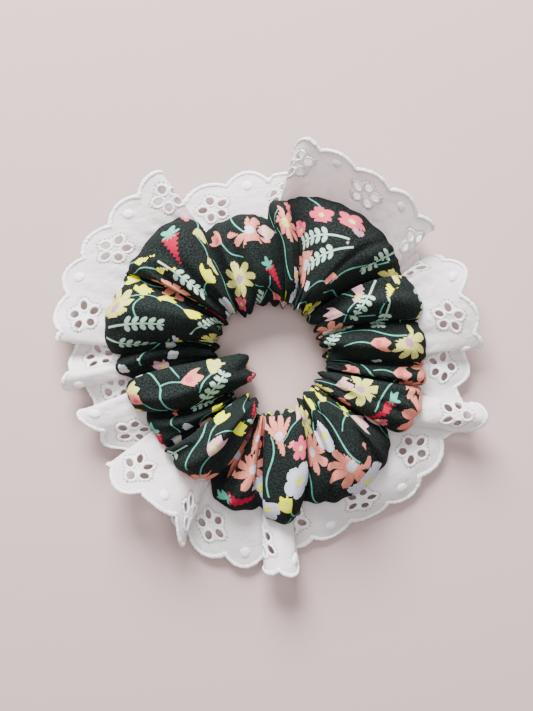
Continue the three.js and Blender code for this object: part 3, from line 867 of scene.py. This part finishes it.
def floral_cotton():
    shader = Shader("floral cotton", 0.95, specular=0.1)
    x, y, kind = shader.parts(shader.attribute("motif"))
    size, petals, wide = shader.parts(shader.attribute("motif_form"))
    cloth = shader.attribute("cloth")
    cloth_x, cloth_y, _ = shader.parts(cloth)
    petal, heart = shader.attribute("petal_color"), shader.attribute("heart_color")
    ragged = (shader.noise(cloth, 0.9, 2.0) - 0.5) * 0.9

    # A daisy's petals: one oval, repeated round the middle.
    out = (x * x + y * y).using("SQRT")
    turn = y.using("ARCTAN2", x) + ragged * 0.15
    sector = petals.using("DIVIDE", TAU).using("POWER", -1.0)
    folded_turn = (turn / sector).using("FRACT") - 0.5
    folded_turn = folded_turn * sector
    side = (out * folded_turn.using("SINE")).using("ABSOLUTE")
    reach = out / size
    widest = ((reach * 2.3).using("SINE") * size * wide).using("MAXIMUM", 0.05)
    tip = (side / widest).using("POWER", 2.0) * -0.14 + 1.0
    notch = (side / (size * 0.05)).using("MINIMUM", 1.0) * 0.07 - 0.07
    on_petal = (side < widest + ragged * 0.5) * (out < (tip + notch) * size + ragged * 0.8)
    on_heart = out < (size * 0.21 + ragged * 0.5)
    is_daisy = kind.using("COMPARE", float(DAISY), 0.1)

    # A tulip's cup opens from its stalk and ends in three points.
    rise = y / size
    cup_wide = (rise * 2.0).using("SINE") * size * wide + 0.25
    lobes = (x / size * 12.5).using("COSINE") * (size * 0.11) + size * 0.85
    up = y.using("MULTIPLY", -1.0) < 0.0
    on_cup = (x.using("ABSOLUTE") < cup_wide + ragged * 0.4) * (y < lobes + ragged * 0.3) * up
    glow = (x * x + (y - size * 0.36).using("POWER", 2.0)).using("SQRT") < size * 0.16 + ragged
    is_tulip = kind.using("COMPARE", float(TULIP), 0.1)
    bend = (y / size * 3.0).using("SINE") * 0.8
    thin = (x - bend).using("ABSOLUTE") < 0.22 + ragged * 0.15
    below = (y < 0.3) * ((y * -1.0) < size * 1.3)
    on_stalk = thin * below

    # A sprig's leaves grow in pairs up a straight stem.
    step = size / petals
    rung = ((y / step).using("FRACT") - 0.55) * step
    spread = x.using("ABSOLUTE")
    tilt_long = (spread - step * 0.52) * 0.8 + rung * 0.6
    tilt_side = (spread - step * 0.52) * -0.6 + rung * 0.8
    leaf = (tilt_long / (step * 0.5)).using("POWER", 2.0)
    leaf = (leaf + (tilt_side / (step * 0.31)).using("POWER", 2.0)).using("SQRT") * (step * 0.35)
    on_leaf = (leaf < step * 0.35 + ragged * 0.3) * up * (y < size)
    shaft = (spread < 0.3) * (y < size) * ((y * -1.0) < size * 0.5)
    on_sprig = on_leaf.using("MAXIMUM", shaft)
    is_sprig = kind.using("COMPARE", float(SPRIG), 0.1)

    # A taper narrows to its tip in steps, with a tuft of leaf at its top.
    lumps = (y * 4.2).using("SINE") * 0.35
    narrow = (size - y) * wide + lumps + 0.15
    on_taper = (spread < narrow) * up * (y < size)
    fronds = (y.using("ARCTAN2", x) * 7.0).using("COSINE") * 0.7
    tuft = (x * x + (y + size * 0.14).using("POWER", 2.0)).using("SQRT") < size * 0.2 + fronds
    is_taper = kind.using("COMPARE", float(TAPER), 0.1)
    is_stem = kind.using("COMPARE", float(STEM), 0.1)
    on_stem = ((x - bend * 1.4).using("ABSOLUTE") < 0.26 + ragged * 0.2) * (y.using("ABSOLUTE") < size)

    inked = on_petal * is_daisy + on_cup * is_tulip + on_sprig * is_sprig + on_taper * is_taper
    inked = (inked + on_stem * is_stem).using("MINIMUM", 1.0)
    hearted = (on_heart * is_daisy + glow * on_cup * is_tulip + tuft * is_taper).using("MINIMUM", 1.0)
    stalked = on_stalk * is_tulip * (on_cup * -1.0 + 1.0)

    # The dark ground is flecked, and ink takes the weave's grain.
    grain = shader.noise(cloth, 2.0, 3.0)
    flecks = (grain - 0.42) * 3.0
    flecks = flecks.using("MAXIMUM", 0.0).using("MINIMUM", 1.0)
    ground = shader.blend(flecks, linear("070A09"), linear("28312F"))
    color = shader.blend(stalked, ground, linear(PALETTE["teal"]))
    color = shader.blend(inked, color, petal)
    color = shader.blend(hearted, color, heart)
    worn = (grain - 0.5) * 1.2 + 0.1
    color = shader.blend(worn.using("MAXIMUM", 0.0), color, linear("1C2422"))
    shader.color(color)
    threads = weave(cloth_x, cloth_y, 0.5)
    crumple = shader.noise(cloth, 0.22, 3.0)
    shader.bump(threads * 0.07 + grain * 0.1 + crumple * 0.9, MM, 0.8)
    return shader.material


def eyelet_cotton():
    shader = Shader("eyelet cotton", 0.85, sheen=0.1)
    flat = shader.attribute("flat")
    x, y, _ = shader.parts(flat)
    threads = weave(x, y, 0.55)
    cloudy = shader.noise(flat, 0.35, 3.0)

    # A ring of needle holes round each flower, not cut but painted dark as painted shade in the holes,
    # and pressed in by the bump.
    local_x = ((x / PITCH).using("FRACT") - FLOWER_PHASE) * PITCH
    local_y = y - FLOWER_MIDDLE
    out = (local_x * local_x + local_y * local_y).using("SQRT")
    turn = local_y.using("ARCTAN2", local_x)
    wave = (turn * 5.0 - math.pi / 2).using("COSINE") * 0.65
    beads = (turn * 30.0).using("COSINE")
    ring_off = (out - 5.25 - wave).using("ABSOLUTE")
    painted_hole_shade = (ring_off < 0.2) * ((beads * -1.0) < -0.3)
    raised_highlit_patch = out < 5.0 + wave
    color = shader.blend(threads * 0.3, linear("F0EBED"), linear("D9D2D5"))
    color = shader.blend((cloudy - 0.45) * 0.6, color, linear("E2D3D6"))
    # Painted highlight: the raised patch inside the ring of needle holes is painted near white.
    color = shader.blend(raised_highlit_patch * 0.7, color, linear("FDFCFC"))
    # Painted shade: the needle holes are darkened in the lace's colour.
    color = shader.blend(painted_hole_shade * 0.85, color, linear("6E5F60"))
    shader.color(color)
    height = threads * 0.07 + cloudy * 0.9 + raised_highlit_patch * 0.15 - painted_hole_shade * 0.3
    shader.bump(height, MM, 0.8)
    through_light(shader, 0.4, (0.97, 0.9, 0.89))
    return shader.material


def through_light(shader, share, tint):
    """Thin cloth lets some light through."""
    glow = shader.node("ShaderNodeBsdfTranslucent", {"Color": (*tint, 1)})
    both = shader.node("ShaderNodeMixShader", {0: share, 1: shader.base.outputs[0], 2: glow.outputs[0]})
    end = shader.tree.nodes["Material Output"]
    shader.tree.links.new(both.outputs[0], end.inputs["Surface"])


def satin_thread():
    """Embroidery: close stitches across the line of the work."""
    shader = Shader("white embroidery", 0.6, sheen=0.2)
    place = shader.attribute("thread")
    along, _, _ = shader.parts(place)
    fuzz = shader.noise(place, 3.0, 3.0)
    stitches = ((along + fuzz * 0.5) * (TAU / 0.42)).using("SINE") * 0.5 + 0.5
    shader.color(shader.blend(stitches * 0.6 + fuzz * 0.3, linear("E6E3E3"), linear("FFFFFF")))
    shader.bump(stitches * 0.12 + fuzz * 0.14, MM, 1.0)
    return shader.material


def dark_thread():
    """Twisted sewing thread."""
    shader = Shader("dark thread", 0.7, sheen=0.05)
    along, turn, _ = shader.parts(shader.attribute("thread"))
    twist = (along * (TAU / 0.5) + turn).using("SINE") * 0.5 + 0.5
    shader.color(shader.blend(twist, linear("20262A"), linear("4A5352")))
    shader.bump(twist * 0.08, MM, 1.0)
    return shader.material


def braided_elastic():
    """Ribs run round the band, crossed by the braid's small diagonal stitches."""
    shader = Shader("braided elastic", 0.75, sheen=0.1)
    along, height, _ = shader.parts(shader.attribute("band"))
    ribs = (height * (TAU / 0.85)).using("SINE") * 0.5 + 0.5
    cross = ((along + height * 0.7) * (TAU / 0.7)).using("SINE") * 0.5 + 0.5
    shader.color(shader.blend(ribs * cross, linear("D8D3C8"), linear("F5F2EA")))
    shader.bump(ribs * 0.18 + cross * 0.08, MM, 1.0)
    return shader.material


# --- The elastic and the sewing threads ----------------------------------------------------

SEWING_THREAD = 0.17
STITCH = 2.4


def make_elastic(material):
    """The flat band, upright inside the casing, with softly rounded edges."""
    steps, sides = 240, 24
    turn = np.linspace(0, TAU, sides, endpoint=False)
    off = BAND_HALF * np.sign(np.cos(turn)) * np.abs(np.cos(turn)) ** 0.5
    rise = BAND_WIDTH / 2 * np.sign(np.sin(turn)) * np.abs(np.sin(turn)) ** 0.7
    angles = np.linspace(0, 360, steps, endpoint=False)
    points = [ring(angle, BAND_RADIUS + off, SEAM_HEIGHT + rise) for angle in angles]
    faces = grid_faces(steps, sides, True, True)
    piece = add_mesh("elastic_braid", np.concatenate(points), faces, material, "elastic")
    along = np.repeat(np.radians(angles) * BAND_RADIUS, sides)
    store(piece, "band", np.stack([along, np.tile(rise, steps), 0 * along], axis=-1))
    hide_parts("elastic_band")


def thread_tubes(name, paths, material, nodes, body="cover"):
    """One round thread along each path of places."""
    sides = 6
    turn = np.linspace(0, TAU, sides, endpoint=False)
    points, faces, coords = [], [], []
    count = 0
    for path in paths:
        ahead = np.gradient(path, axis=0)
        ahead /= np.linalg.norm(ahead, axis=1, keepdims=True)
        side = np.cross(ahead, [0, 0, 1.0])
        side /= np.maximum(np.linalg.norm(side, axis=1, keepdims=True), 1e-6)
        up = np.cross(side, ahead)
        wall = side[:, None] * np.cos(turn)[:, None] + up[:, None] * np.sin(turn)[:, None]
        points.append((path[:, None] + wall * SEWING_THREAD).reshape(-1, 3))
        caps = [list(range(sides)), list(range(len(points[-1]) - 1, len(points[-1]) - 1 - sides, -1))]
        faces += (grid_faces(len(path), sides, False, True) + count).tolist()
        faces += [[corner + count for corner in cap] for cap in caps]
        run = np.linalg.norm(np.diff(path, axis=0, prepend=path[:1]), axis=1).cumsum()
        along, across = np.meshgrid(run, turn, indexing="ij")
        coords.append(np.stack([along, across, 0 * across], axis=-1).reshape(-1, 3))
        count += len(points[-1])
    piece = add_mesh(name, np.concatenate(points), faces, material, body)
    store(piece, "thread", np.concatenate(coords))
    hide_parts(*nodes)


def cover_at(column, row):
    """A place on the cover, lifted to lie on its outside."""
    columns = len(COVER)
    here = COVER[column % columns, row]
    onward = COVER[(column + 1) % columns, row] - COVER[(column - 1) % columns, row]
    outward = COVER[column % columns, row + 1] - COVER[column % columns, row - 1]
    normal = np.cross(onward, outward)
    normal /= max(np.linalg.norm(normal), 1e-9)
    return here + normal * SEWING_THREAD * 0.5


def seam_paths(row):
    """Stitches along the seam, one row of the cover's grid away from its edge."""
    paths, path, spent = [], [], 0.0
    for column in range(len(COVER)):
        place = cover_at(column, row)
        spent += np.linalg.norm(place - path[-1]) if path else 0.0
        path.append(place)
        if spent > STITCH:
            paths.append(np.array(path))
            path, spent = [], 0.0
    return [path for path in paths if len(path) > 2]


def make_threads(dark, white):
    thread_tubes("needle_stitches", seam_paths(3), dark, ["seam_needle_thread"])
    last = COVER.shape[1] - 3
    thread_tubes("bobbin_stitches", seam_paths(last), dark, ["seam_bobbin_thread"])

    # Hand stitches close the cover's ends, down in the crease where they meet.
    column = int(np.argmin(np.abs(np.degrees(np.arctan2(COVER[:, 0, 1], COVER[:, 0, 0])) + 11)))
    rows = range(14, 50, 3)
    ladder = [cover_at(column + (1 if row % 2 else -1), row) for row in rows]
    thread_tubes("closing_stitches", [np.array(ladder)], dark, ["cover_closing_thread"])

    # A zigzag holds the lace strip's two ends together.
    across = np.arange(2, LACE_DEPTH - SCALLOP_DEPTH - 1, 0.9)
    along = np.where(np.arange(len(across)) % 2, 0.25, 0.95)
    zigzag = on_lace(np.stack([along, across, 0.15 + SEWING_THREAD + 0 * across], axis=-1))
    thread_tubes("lace_join_stitches", [zigzag], white, ["lace_join_thread"])

    # Another joins the ends of the elastic, across its outer face.
    turns = np.arange(12)
    height = SEAM_HEIGHT + np.where(turns % 2, 1, -1) * BAND_WIDTH * 0.36
    joint = ring((turns - 5.5) * 1.6, BAND_RADIUS + BAND_HALF + SEWING_THREAD, height)
    thread_tubes("band_join_stitches", [joint], white, ["elastic_join_stitches"], "elastic")


def plain(name, color, roughness):
    material = bpy.data.materials.new(name)
    material.use_nodes = True
    shader = material.node_tree.nodes["Principled BSDF"]
    shader.inputs["Base Color"].default_value = (*color, 1)
    shader.inputs["Roughness"].default_value = roughness
    return material


WHITE = satin_thread()
make_elastic(braided_elastic())
make_cover(floral_cotton())
make_lace(eyelet_cotton())
make_embroidery(WHITE)
make_threads(dark_thread(), WHITE)


# --- The room ------------------------------------------------------------------------------


def make_room():
    bpy.ops.mesh.primitive_plane_add(size=3)
    floor = bpy.context.object
    floor.name = "floor"
    floor.data.materials.append(plain("pale floor", (0.42, 0.31, 0.3), 0.9))
    world = bpy.data.worlds.new("soft room")
    world.use_nodes = True
    world.node_tree.nodes["Background"].inputs["Color"].default_value = (1, 0.98, 0.97, 1)
    world.node_tree.nodes["Background"].inputs["Strength"].default_value = 0.45
    bpy.context.scene.world = world
    # name, place, size, power
    lights = [
        ("window", (-0.15, 0.7, 0.5), 0.45, 40.0),
        ("ceiling", (0.1, 0.0, 1.1), 0.8, 9.0),
    ]
    for name, place, size, power in lights:
        lamp = bpy.data.lights.new(name, "AREA")
        lamp.size = size
        lamp.energy = power
        holder = bpy.data.objects.new(name, lamp)
        holder.location = place
        holder.rotation_euler = (-Vector(place)).to_track_quat("-Z", "Y").to_euler()
        bpy.context.scene.collection.objects.link(holder)


def make_camera():
    height = 0.5
    view_width = 0.179
    camera = bpy.data.cameras.new("camera")
    camera.sensor_fit = "HORIZONTAL"
    camera.sensor_width = 36
    camera.lens = camera.sensor_width * (height - 0.01) / view_width
    holder = bpy.data.objects.new("camera", camera)
    holder.location = (CENTRE_X - 0.001, CENTRE_Y + 0.0008, height)
    bpy.context.scene.collection.objects.link(holder)
    bpy.context.scene.camera = holder


make_room()
make_camera()
